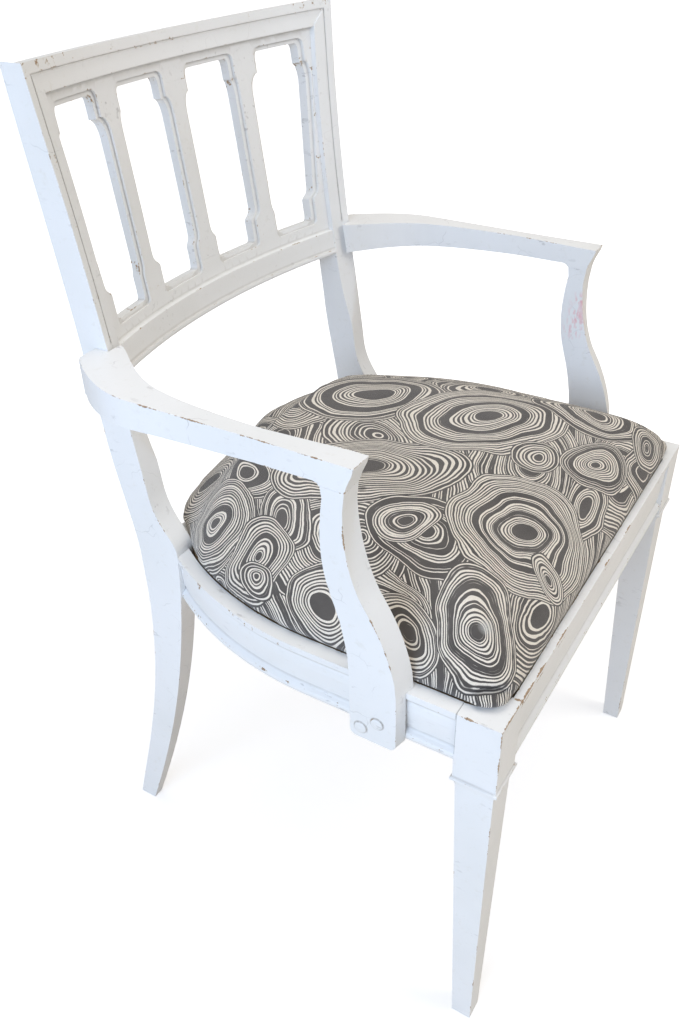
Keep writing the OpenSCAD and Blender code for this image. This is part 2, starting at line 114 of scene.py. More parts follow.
# Node making kit: make() adds a node and fills its inputs with values or links
class Shader:
    def __init__(self, name):
        self.material = bpy.data.materials.new(name)
        self.material.use_nodes = True
        self.tree = self.material.node_tree
        self.finish = self.tree.nodes["Principled BSDF"]
        self.output = self.tree.nodes["Material Output"]

    def make(self, kind, inputs=None, **settings):
        node = self.tree.nodes.new(kind)
        for key, value in settings.items():
            setattr(node, key, value)
        for key, value in (inputs or {}).items():
            self.feed(node.inputs[key], value)
        return node

    def feed(self, socket, value):
        if isinstance(value, bpy.types.NodeSocket):
            self.tree.links.new(value, socket)
        else:
            socket.default_value = value

    def calc(self, operation, *values):
        node = self.make("ShaderNodeMath", operation=operation)
        for index, value in enumerate(values):
            self.feed(node.inputs[index], value)
        return node.outputs[0]

    def vector(self, operation, *values):
        node = self.make("ShaderNodeVectorMath", operation=operation)
        for index, value in enumerate(values):
            self.feed(node.inputs[index], value)
        single = operation in ("DOT_PRODUCT", "LENGTH", "DISTANCE")
        return node.outputs["Value"] if single else node.outputs[0]

    def mix(self, amount, first, second):
        node = self.make("ShaderNodeMix", data_type="RGBA")
        self.feed(node.inputs[0], amount)
        self.feed(node.inputs[6], first)
        self.feed(node.inputs[7], second)
        return node.outputs[2]

    def step(self, value, low, high, toLow=0.0, toHigh=1.0):
        node = self.make("ShaderNodeMapRange", {"Value": value, "From Min": low, "From Max": high,
                                                "To Min": toLow, "To Max": toHigh}, clamp=True)
        return node.outputs[0]

    def cloud(self, where, scale, detail=3.0, rough=0.5, dimensions="3D", w=None):
        node = self.make("ShaderNodeTexNoise", noise_dimensions=dimensions)
        if where is not None:
            self.feed(node.inputs["Vector"], where)
        if w is not None:
            self.feed(node.inputs["W"], w)
        node.inputs["Scale"].default_value = scale
        node.inputs["Detail"].default_value = detail
        node.inputs["Roughness"].default_value = rough
        return node.outputs["Fac"]

    def attribute(self, name):
        return self.make("ShaderNodeAttribute", attribute_name=name).outputs["Fac"]

    def place(self, stretch=(1, 1, 1)):
        spot = self.make("ShaderNodeTexCoord").outputs["Object"]
        if stretch == (1, 1, 1):
            return spot
        return self.make("ShaderNodeMapping", {"Vector": spot, "Scale": stretch}).outputs[0]

    def bump(self, height, distance, strength=1.0):
        inputs = {"Height": height, "Distance": distance, "Strength": strength}
        return self.make("ShaderNodeBump", inputs).outputs[0]

    def wear(self, color=None, rough=None, normal=None, **plain):
        if color is not None:
            self.feed(self.finish.inputs["Base Color"], color)
        if rough is not None:
            self.feed(self.finish.inputs["Roughness"], rough)
        if normal is not None:
            self.feed(self.finish.inputs["Normal"], normal)
        for key, value in plain.items():
            self.finish.inputs[key].default_value = value
        return self.material


def makeRoom():
    world = bpy.data.worlds.new("studioRoom")
    scene.world = world
    world.use_nodes = True
    tree = world.node_tree
    tree.nodes.clear()
    path = tree.nodes.new("ShaderNodeLightPath")
    soft = tree.nodes.new("ShaderNodeBackground")
    soft.inputs["Color"].default_value = (*roomSettings["ambientColor"], 1)
    soft.inputs["Strength"].default_value = roomSettings["ambient"]
    white = tree.nodes.new("ShaderNodeBackground")
    white.inputs["Color"].default_value = (1, 1, 1, 1)
    white.inputs["Strength"].default_value = 1.0
    blend = tree.nodes.new("ShaderNodeMixShader")
    tree.links.new(path.outputs["Is Camera Ray"], blend.inputs[0])
    tree.links.new(soft.outputs[0], blend.inputs[1])
    tree.links.new(white.outputs[0], blend.inputs[2])
    output = tree.nodes.new("ShaderNodeOutputWorld")
    tree.links.new(blend.outputs[0], output.inputs[0])

    # the floor shows white to the camera and keeps the chair's shadow
    shader = Shader("paleFloor")
    shader.finish.inputs["Base Color"].default_value = roomSettings["floorColor"]
    shader.finish.inputs["Roughness"].default_value = 0.9
    shader.finish.inputs["Specular IOR Level"].default_value = 0.1
    away = shader.vector("LENGTH", shader.place())
    strength = shader.step(away, 0.5, 1.7, 0.45, 1.0)
    glow = shader.make("ShaderNodeEmission", {"Color": (1, 1, 1, 1), "Strength": strength})
    both = shader.make("ShaderNodeAddShader")
    plain = shader.make("ShaderNodeBsdfDiffuse", {"Color": roomSettings["floorShown"]})
    shader.tree.links.new(plain.outputs[0], both.inputs[0])
    shader.tree.links.new(glow.outputs[0], both.inputs[1])
    pick = shader.make("ShaderNodeMixShader")
    cameraPath = shader.make("ShaderNodeLightPath")
    shader.tree.links.new(cameraPath.outputs["Is Camera Ray"], pick.inputs[0])
    shader.tree.links.new(shader.finish.outputs[0], pick.inputs[1])
    shader.tree.links.new(both.outputs[0], pick.inputs[2])
    # clear from underneath and right under the feet, so that the chair can be seen from there
    clear = shader.make("ShaderNodeBsdfTransparent")
    below = shader.make("ShaderNodeNewGeometry").outputs["Backfacing"]
    underFeet = shader.calc("LESS_THAN", cameraPath.outputs["Ray Length"], roomSettings["underFeet"])
    side = shader.make("ShaderNodeMixShader", {0: shader.calc("MAXIMUM", below, underFeet)})
    shader.tree.links.new(pick.outputs[0], side.inputs[1])
    shader.tree.links.new(clear.outputs[0], side.inputs[2])
    shader.tree.links.new(side.outputs[0], shader.output.inputs["Surface"])
    bm = bmesh.new()
    bmesh.ops.create_circle(bm, cap_ends=True, segments=64, radius=roomSettings["floorRadius"])
    bmesh.ops.translate(bm, verts=bm.verts, vec=(0, 0, -roomSettings["floorDrop"]))
    mesh = bpy.data.meshes.new("floor")
    bm.to_mesh(mesh)
    bm.free()
    floor = bpy.data.objects.new("floor", mesh)
    mesh.materials.append(shader.material)
    scene.collection.objects.link(floor)


makeRoom()
scene.view_settings.view_transform = "Standard"
print("camera and room made")


paintSettings = {
    "white": (0.80, 0.805, 0.80, 1), "clean": (0.85, 0.855, 0.86, 1), "aged": (0.70, 0.68, 0.62, 1),
    "grimeAndShade": (0.30, 0.26, 0.21, 1), "crack": (0.34, 0.33, 0.33, 1), "undercoat": (0.62, 0.55, 0.45, 1),
    "woodLight": (0.47, 0.34, 0.23, 1), "woodDark": (0.30, 0.205, 0.135, 1), "pink": (0.80, 0.30, 0.34, 1),
    "gap": (0.05, 0.045, 0.04, 1), "roughness": 0.42,
    "wearPull": 0.34, "edgePull": 0.12, "chipFrom": 0.655, "chipTo": 0.668, "rimFrom": 0.632,
    "stains": 0.35, "cracks": 0.42, "scuffs": 0.45, "creaseDirtAndShadeStrength": 0.30, "pinkMarks": 0.75,
}


# Middles of the screw heads on an arm post, as y and z
def screwHeads(radius=0.006):
    low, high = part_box("right_post_screws")
    return (high.y - radius, low.z + radius), (low.y + radius, high.z - radius)


def makePaint(settings):
    shader = Shader("oldWhitePaint")
    spot = shader.place()
    edge = shader.attribute("edge")
    crease = shader.attribute("crease")
    worn = shader.attribute("worn")
    coarse = shader.cloud(spot, 62, 4, 0.55)
    fine = shader.cloud(spot, 330, 4, 0.6)
    field = shader.calc("ADD", shader.calc("MULTIPLY", coarse, 0.55), shader.calc("MULTIPLY", fine, 0.45))
    score = shader.calc("ADD", field, shader.calc("MULTIPLY", worn, settings["wearPull"]))
    score = shader.calc("SUBTRACT", score, shader.calc("MULTIPLY", edge, settings["edgePull"]))
    chipped = shader.step(score, settings["chipFrom"], settings["chipTo"])
    rim = shader.step(score, settings["rimFrom"], settings["chipFrom"])

    # colour: clean and dull areas, faint stains, cracks in patches, and dirt with painted shade in the corners
    broad = shader.cloud(spot, 7, 3, 0.5)
    color = shader.mix(shader.step(broad, 0.35, 0.68), settings["clean"], settings["white"])
    speckle = shader.cloud(spot, 140, 3, 0.6)
    color = shader.mix(shader.step(speckle, 0.60, 0.80, 0, settings["stains"]), color, settings["aged"])
    bend = shader.make("ShaderNodeTexNoise", {"Vector": spot, "Scale": 22.0, "Detail": 3.0}).outputs["Color"]
    warped = shader.vector("ADD", spot, shader.vector("MULTIPLY", bend, (0.05, 0.05, 0.05)))
    cells = shader.make("ShaderNodeTexVoronoi", {"Vector": warped, "Scale": 19.0}, feature="DISTANCE_TO_EDGE")
    hairline = shader.step(cells.outputs["Distance"], 0.003, 0.006, 1, 0)
    patch = shader.step(shader.cloud(spot, 26, 2, 0.5), 0.53, 0.62)
    hairline = shader.calc("MULTIPLY", shader.calc("MULTIPLY", hairline, patch), shader.attribute("crackle"))
    color = shader.mix(shader.calc("MULTIPLY", hairline, settings["cracks"]), color, settings["crack"])
    scuff = shader.cloud(shader.place((1, 0.35, 1)), 150, 4, 0.62)
    scuff = shader.calc("MULTIPLY", shader.step(scuff, 0.615, 0.66), shader.step(edge, 2, 9, 1, 0.25))
    scuff = shader.calc("MULTIPLY", scuff, shader.step(shader.cloud(spot, 16, 2, 0.5), 0.5, 0.62))
    color = shader.mix(shader.calc("MULTIPLY", scuff, settings["scuffs"]), color, settings["crack"])
    # painted shade with some dirt: darker near inner corners and creases, in a dark brown
    creaseDirtAndShade = shader.calc("MULTIPLY", shader.step(crease, 0.2, 2.2, 1, 0),
                        shader.step(coarse, 0.25, 0.6, 0.5, 1.0))
    color = shader.mix(shader.calc("MULTIPLY", creaseDirtAndShade, settings["creaseDirtAndShadeStrength"]), color, settings["grimeAndShade"])
    # a dark ring round each screw head on the posts: painted shade with some dirt where the head meets the
    # post
    fromSide = shader.vector("MULTIPLY", spot, (0, 1, 1))
    toHeads = [shader.vector("DISTANCE", fromSide, (0, y, z)) for y, z in screwHeads()]
    toHead = shader.calc("MINIMUM", *toHeads)
    screwRingDirtAndShade = shader.calc("MULTIPLY", shader.step(toHead, 0.0053, 0.0058),
                       shader.step(toHead, 0.0064, 0.0074, 1, 0))
    screwRingDirtAndShade = shader.calc("MULTIPLY", screwRingDirtAndShade, shader.step(fine, 0.3, 0.6, 0.25, 0.6))
    color = shader.mix(screwRingDirtAndShade, color, settings["grimeAndShade"])
    pink = shader.calc("MULTIPLY", shader.attribute("pink"), shader.step(
        shader.cloud(shader.place((1, 1, 0.35)), 260, 3, 0.6), 0.47, 0.56))
    color = shader.mix(shader.calc("MULTIPLY", pink, settings["pinkMarks"]), color, settings["pink"])

    grain = shader.cloud(shader.place((1, 1, 0.12)), 420, 4, 0.6)
    timber = shader.mix(shader.step(grain, 0.35, 0.65), settings["woodDark"], settings["woodLight"])
    color = shader.mix(shader.calc("MULTIPLY", rim, 0.7), color, settings["undercoat"])
    color = shader.mix(chipped, color, timber)
    split = shader.attribute("split")
    opened = shader.step(split, 0.80, 0.97)
    color = shader.mix(shader.calc("MULTIPLY", opened, 0.85), color, settings["gap"])

    # brushed, slightly uneven skin, with the chips and cracks cut into it
    skin = shader.cloud(shader.place((1, 1, 0.3)), 120, 4, 0.55)
    height = shader.calc("MULTIPLY", skin, 0.35)
    height = shader.calc("SUBTRACT", height, shader.calc("MULTIPLY", chipped, 0.8))
    height = shader.calc("SUBTRACT", height, shader.calc("MULTIPLY", hairline, 0.4))
    height = shader.calc("ADD", height, shader.calc("MULTIPLY", fine, 0.10))
    smoothest, roughest = settings["roughness"] - 0.08, settings["roughness"] + 0.1
    rough = shader.calc("ADD", shader.step(coarse, 0.3, 0.7, smoothest, roughest),
                        shader.calc("MULTIPLY", chipped, 0.3))
    return shader.wear(color, rough, shader.bump(height, 0.0007, 0.55))


paint = makePaint(paintSettings)


def makeTimber(name, light, dark, along):
    shader = Shader(name)
    stretch = tuple(0.1 if axis == along else 1 for axis in range(3))
    grain = shader.cloud(shader.place(stretch), 160, 5, 0.62)
    pores = shader.cloud(shader.place(stretch), 900, 3, 0.7)
    color = shader.mix(shader.step(grain, 0.32, 0.68), dark, light)
    color = shader.mix(shader.step(pores, 0.62, 0.72, 0, 0.5), color, tuple(c * 0.5 for c in dark[:3]) + (1,))
    height = shader.calc("ADD", grain, shader.calc("MULTIPLY", pores, 0.5))
    return shader.wear(color, shader.step(grain, 0.3, 0.7, 0.55, 0.75), shader.bump(height, 0.0004, 0.5))


bareWood = makeTimber("bareBeech", (0.46, 0.31, 0.18, 1), (0.30, 0.19, 0.10, 1), 0)
plywood = makeTimber("barePlywood", (0.55, 0.40, 0.24, 1), (0.40, 0.27, 0.15, 1), 1)


def makeSteel():
    shader = Shader("dullSteel")
    spot = shader.place()
    rust = shader.cloud(spot, 500, 4, 0.6)
    color = shader.mix(shader.step(rust, 0.52, 0.66), (0.42, 0.41, 0.39, 1), (0.20, 0.12, 0.08, 1))
    rough = shader.step(rust, 0.3, 0.7, 0.35, 0.7)
    return shader.wear(color, rough, shader.bump(rust, 0.0002, 0.4), Metallic=0.9)


steel = makeSteel()
print("finishes made")


# Places where the paint has worn through: middle of the spot, reach in metres and how far it has gone
wornSpots = [
    ((-0.176, legFront, 0.433), 0.010, 0.85), ((-0.199, legFront, 0.435), 0.009, 0.95),
    ((-0.210, legFront, 0.434), 0.008, 0.9), ((-0.228, legFront, 0.435), 0.010, 0.8),
    ((-0.245, legFront, 0.434), 0.008, 0.8), ((-0.13, legFront, 0.435), 0.025, 0.62),
    ((-0.07, legFront, 0.435), 0.020, 0.55), ((0.00, legFront, 0.435), 0.020, 0.60),
    ((0.06, legFront, 0.435), 0.020, 0.60), ((-0.208, 0.185, 0.808), 0.005, 0.6),
    ((-0.214, 0.191, 0.874), 0.005, 0.55), ((-0.266, -0.090, 0.645), 0.020, 0.5),
    ((-0.266, -0.040, 0.645), 0.025, 0.5), ((-0.266, 0.02, 0.645), 0.022, 0.58),
    ((-0.266, 0.065, 0.645), 0.014, 0.68), ((-0.262, 0.100, 0.645), 0.014, 0.60),
    ((-0.267, -0.113, 0.615), 0.014, 0.62), ((-0.267, -0.111, 0.585), 0.016, 0.62),
    ((-0.267, -0.138, 0.506), 0.012, 0.58), ((-0.267, -0.150, 0.480), 0.014, 0.5),
    ((-0.263, -0.122, 0.641), 0.009, 0.72), ((-0.267, -0.122, 0.645), 0.009, 0.72),
    ((-0.2545, -0.222, 0.432), 0.007, 0.85), ((-0.136, 0.196, 0.652), 0.006, 0.6),
    ((-0.110, 0.208, 0.680), 0.006, 0.5), ((0.267, -0.12, 0.64), 0.012, 0.6),
    ((0.214, 0.191, 0.874), 0.007, 0.55),
    ((-0.2545, legFront, 0.425), 0.012, 0.75), ((-0.2545, legFront, 0.395), 0.014, 0.68),
    ((-0.2545, legFront, 0.37), 0.010, 0.6), ((-0.253, legFront, 0.30), 0.014, 0.60),
    ((-0.253, legFront, 0.225), 0.010, 0.66), ((-0.253, legFront, 0.13), 0.008, 0.68),
    ((-0.253, legFront, 0.065), 0.010, 0.75), ((0.2545, legFront, 0.03), 0.03, 0.5),
    ((0.245, -0.03, 0.645), 0.05, 0.4), ((0.2, 0.24, 0.03), 0.03, 0.5), ((-0.2, 0.24, 0.03), 0.03, 0.5),
]
# Pink marks on the far arm post: middle and reach
pinkSpots = [
    ((0.2445, -0.112, 0.566), 0.017), ((0.2445, -0.114, 0.585), 0.013), ((0.2445, -0.108, 0.55), 0.012),
]
generalWear = 0.20
# How far each piece's paint has crackled
agedPieces = {
    "right_arm": 0.9, "right_arm_post": 0.9, "right_rear_leg": 0.7, "left_arm": 0.6, "left_arm_post": 0.5,
    "crest_rail": 0.35, "left_rear_leg": 0.4, "right_front_leg": 0.3,
}
leastCrackle = 0.15
jointLine = -0.2083   # where the side rails meet the front legs' blocks
jointFoot = 0.385   # the joint opens above this height
jointWidth = 0.0008


def wearAt(point):
    total = generalWear
    for middle, reach, amount in wornSpots:
        gap = (point - Vector(middle)).length / reach
        if gap < 2.5:
            total = max(total, amount * math.exp(-gap * gap * 0.7))
    return total


# Open joint between a front leg's block and its side rail
def splitAt(point, node):
    if node not in ("right_front_leg", "right_side_rail") or point.z < jointFoot:
        return 0.0
    return max(0.0, 1 - abs(point.y - jointLine) / jointWidth)


def treeOf(points):
    tree = KDTree(len(points))
    for index, point in enumerate(points):
        tree.insert(point, index)
    tree.balance()
    return tree


def segmentsOf(edges):
    return [(edge.verts[0].co.copy(), edge.verts[1].co.copy()) for edge in edges]


# Distance in millimetres from each point to the nearest of some line segments
def distancesTo(segments, points, gap=0.003, most=20.0):
    if not segments:
        return [most] * len(points)
    samples, owners = [], []
    for index, (start, end) in enumerate(segments):
        count = max(1, int((end - start).length / gap))
        samples += [start.lerp(end, step / count) for step in range(count + 1)]
        owners += [index] * (count + 1)
    tree = treeOf(samples)
    result = []
    for point in points:
        nearest = most / 1000
        for _, sample, away in tree.find_n(point, 3):
            if away > most / 1000:
                continue
            start, end = segments[owners[sample]]
            line = end - start
            along = min(1.0, max(0.0, (point - start).dot(line) / max(line.length_squared, 1e-12)))
            nearest = min(nearest, (point - start - line * along).length)
        result.append(nearest * 1000)
    return result


def faceWidth(face):
    return 2 * face.calc_area() / max(face.calc_perimeter(), 1e-9)


# A clean merged copy of a CAD node, its flat faces whole
def cleanCopy(name):
    bm = bmesh.new()
    bm.from_mesh(cadNodes[name].data)
    bmesh.ops.remove_doubles(bm, verts=bm.verts, dist=2e-5)
    bmesh.ops.dissolve_degenerate(bm, dist=1e-5, edges=bm.edges)
    bmesh.ops.dissolve_limit(bm, angle_limit=math.radians(0.5), verts=bm.verts, edges=bm.edges)
    bmesh.ops.recalc_face_normals(bm, faces=bm.faces)
    return bm


def softenEdges(bm, width, segments, mark):
    narrow = {face: faceWidth(face) for face in bm.faces}
    edges = []
    for edge in bm.edges:
        if len(edge.link_faces) != 2 or not edge.is_convex or edge.calc_face_angle(0) < math.radians(32):
            continue
        if min(narrow[face] for face in edge.link_faces) > 1.6 * width:
            edges.append(edge)
    if not edges:
        return
    made = bmesh.ops.bevel(bm, geom=edges, offset=width, offset_type="OFFSET", segments=segments, profile=0.5,
                           affect="EDGES", clamp_overlap=True, material=-1, loop_slide=True)
    for face in made["faces"]:
        face[mark] = 1


# Flat faces keep their own normals and the rounded edges turn smoothly between them
def setNormals(mesh, mark, turn=math.radians(40)):
    limit = math.cos(turn)
    rounded = [value.value for value in mesh.attributes[mark].data]
    around = [[] for _ in mesh.vertices]
    for face in mesh.polygons:
        for vertex in face.vertices:
            around[vertex].append(face.index)
    normals = [face.normal.copy() for face in mesh.polygons]
    areas = [face.area for face in mesh.polygons]
    result = [None] * len(mesh.loops)
    for face in mesh.polygons:
        own = normals[face.index]
        for loop in face.loop_indices:
            group = around[mesh.loops[loop].vertex_index]
            plain = [other for other in group if not rounded[other]] or group
            base = own
            if rounded[face.index] and len(plain) < len(group):
                base = normals[max(plain, key=lambda other: normals[other].dot(own))]
            use = [other for other in plain if normals[other].dot(base) > limit]
            total = Vector()
            for other in use:
                total += normals[other] * (areas[other] + 1e-9)
            result[loop] = (total if total.length > 1e-12 else base).normalized()
    mesh.normals_split_custom_set(result)


# Cuts long triangles up so that the wear follows the edges
def refine(bm, longest, rounds=6):
    bmesh.ops.triangulate(bm, faces=bm.faces, quad_method="BEAUTY", ngon_method="BEAUTY")
    for _ in range(rounds):
        longEdges = [edge for edge in bm.edges if edge.calc_length() > longest]
        if not longEdges:
            break
        bmesh.ops.subdivide_edges(bm, edges=longEdges, cuts=1)
        bmesh.ops.triangulate(bm, faces=[face for face in bm.faces if len(face.verts) > 3],
                              quad_method="BEAUTY", ngon_method="BEAUTY")


def finishPainted(bm, name, node, ridges, hollows, longest=0.011):
    refine(bm, longest)
    mesh = bpy.data.meshes.new(name)
    bm.to_mesh(mesh)
    bm.free()
    points = [vertex.co.copy() for vertex in mesh.vertices]
    layers = {
        "edge": distancesTo(ridges, points),
        "crease": distancesTo(hollows, points),
        "worn": [wearAt(point) for point in points],
        "pink": [max([0.0] + [1 - (point - Vector(middle)).length / reach for middle, reach in pinkSpots])
                 for point in points],
        "crackle": [agedPieces.get(node, leastCrackle)] * len(points),
        "split": [splitAt(point, node) for point in points],
    }
    for key, values in layers.items():
        mesh.attributes.new(key, "FLOAT", "POINT").data.foreach_set("value", values)
    mesh.materials.append(paint)
    for face in mesh.polygons:
        face.use_smooth = True
    setNormals(mesh, "roundedFace")
    piece = bpy.data.objects.new(name, mesh)
    scene.collection.objects.link(piece)
    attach(piece, "root")
    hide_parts(node)
    return piece


# node: piece name, edge softening in metres
paintedPieces = {
    "crest_rail": ("crestRail", 0.0010), "lower_back_rail": ("lowerBackRail", 0.0010),
    "splat_right": ("rightSplat", 0.0009), "splat_centre": ("centreSplat", 0.0009),
    "splat_left": ("leftSplat", 0.0009),
    "side_splat_right": ("rightSideSplat", 0.0009), "side_splat_left": ("leftSideSplat", 0.0009),
    "right_rear_leg": ("rightRearLeg", 0.0012), "left_rear_leg": ("leftRearLeg", 0.0012),
    "right_arm": ("rightArm", 0.0026), "left_arm": ("leftArm", 0.0026),
    "right_arm_post": ("rightArmPost", 0.0014), "left_arm_post": ("leftArmPost", 0.0014),
    "front_rail": ("frontRail", 0.0011), "rear_rail": ("rearRail", 0.0012),
    "right_side_rail": ("rightSideRail", 0.0011), "left_side_rail": ("leftSideRail", 0.0011),
    "right_front_leg": ("rightFrontLeg", 0.0012), "left_front_leg": ("leftFrontLeg", 0.0012),
    "right_post_screws": ("rightPostScrews", 0.0004), "left_post_screws": ("leftPostScrews", 0.0004),
}


def makePainted(node):
    name, width = paintedPieces[node]
    bm = cleanCopy(node)
    mark = bm.faces.layers.int.new("roundedFace")
    sharp = [edge for edge in bm.edges
             if len(edge.link_faces) == 2 and edge.calc_face_angle(0) > math.radians(28)]
    ridges = segmentsOf([edge for edge in sharp if edge.is_convex])
    hollows = segmentsOf([edge for edge in sharp if not edge.is_convex])
    softenEdges(bm, width, 3, mark)
    return finishPainted(bm, name, node, ridges, hollows)


# How far a piece reaches past the box of its CAD node
def reachPast(piece, node):
    low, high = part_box(node)
    return max(max(low[axis] - vertex.co[axis], vertex.co[axis] - high[axis], 0.0)
               for vertex in piece.data.vertices for axis in range(3))


for node in paintedPieces:
    piece = makePainted(node)
    past = round(reachPast(piece, node) * 1000, 3)
    print(piece.name, len(piece.data.polygons), "faces, outside by", past, "mm")

print("painted pieces made")


# Hidden wood and screws keep their CAD shape
for node in ("front_right_block", "front_left_block", "rear_right_block", "rear_left_block"):
    cadNodes[node].data.materials.clear()
    cadNodes[node].data.materials.append(bareWood)
cadNodes["seat_board"].data.materials.clear()
cadNodes["seat_board"].data.materials.append(plywood)
for node in ("block_screws", "seat_screws"):
    cadNodes[node].data.materials.clear()
    cadNodes[node].data.materials.append(steel)


clothSettings = {
    "charcoal": (0.080, 0.072, 0.067, 1), "charcoalWorn": (0.135, 0.122, 0.113, 1),
    "cream": (0.93, 0.86, 0.76, 1), "rubbed": (0.62, 0.62, 0.60, 1), "darkMark": (0.035, 0.03, 0.027, 1),
    "linePitch": 3.0, "weave": 1150.0, "roughness": 0.86, "sheen": 0.25,
    "drift": 0.034, "shiver": 0.0022, "leastCore": 0.08, "mostCore": 0.24, "coreLimit": 12.0,
    "rubbedSpot": (-0.194, -0.205, 0.4815), "stainSpot": (-0.109, -0.037, 0.509),
}

# Ovals of the print, in metres on the cloth: middle, half axes and turn in degrees. Later ones lie on top
printOvals = [
    (0.010, 0.190, 0.120, 0.050, 5), (-0.130, 0.175, 0.070, 0.050, -20), (0.140, 0.170, 0.070, 0.050, 25),
    (0.240, 0.090, 0.060, 0.050, 50), (-0.070, 0.080, 0.090, 0.060, 15), (0.070, 0.020, 0.110, 0.080, -30),
    (-0.180, -0.040, 0.090, 0.080, 40), (0.170, -0.090, 0.100, 0.070, -60), (0.250, -0.180, 0.070, 0.050, 80),
    (0.020, -0.160, 0.100, 0.070, 10), (-0.250, -0.110, 0.070, 0.050, 80), (0.110, -0.260, 0.100, 0.060, 0),
    (0.260, -0.010, 0.070, 0.040, -85), (-0.150, -0.270, 0.090, 0.050, 10), (-0.280, 0.060, 0.060, 0.040, 70),
    (0.000, 0.105, 0.059, 0.042, 20), (0.095, 0.118, 0.054, 0.038, -15), (-0.062, 0.138, 0.050, 0.035, 30),
    (0.172, 0.112, 0.049, 0.038, -40), (-0.128, 0.095, 0.056, 0.040, 60), (0.205, 0.030, 0.056, 0.040, -70),
    (0.150, -0.055, 0.056, 0.034, -50), (0.226, -0.085, 0.045, 0.032, -80), (0.020, -0.245, 0.050, 0.032, 10),
    (0.150, -0.285, 0.054, 0.034, 5), (0.240, -0.215, 0.048, 0.037, 60), (-0.258, -0.150, 0.052, 0.033, 70),
    (-0.170, -0.065, 0.054, 0.040, 35), (-0.175, 0.020, 0.050, 0.034, 25), (-0.020, 0.000, 0.040, 0.060, 0),
    (0.140, 0.045, 0.040, 0.034, 20), (0.055, 0.045, 0.084, 0.058, -42), (-0.080, -0.020, 0.098, 0.056, -60),
    (0.072, -0.082, 0.096, 0.070, -42), (0.040, -0.160, 0.034, 0.024, -55), (0.182, -0.178, 0.080, 0.054, -62),
    (0.090, -0.228, 0.054, 0.042, -25), (0.195, -0.268, 0.044, 0.030, 20), (-0.140, -0.125, 0.066, 0.050, 80),
    (-0.133, -0.098, 0.034, 0.028, -30), (-0.205, 0.105, 0.072, 0.053, 20), (-0.235, 0.025, 0.060, 0.036, 12),
    (-0.262, 0.012, 0.026, 0.018, 60), (-0.262, -0.065, 0.053, 0.037, 15), (-0.072, -0.205, 0.082, 0.090, 12),
    (-0.098, -0.258, 0.030, 0.020, 60), (-0.218, -0.222, 0.077, 0.049, 33),
]


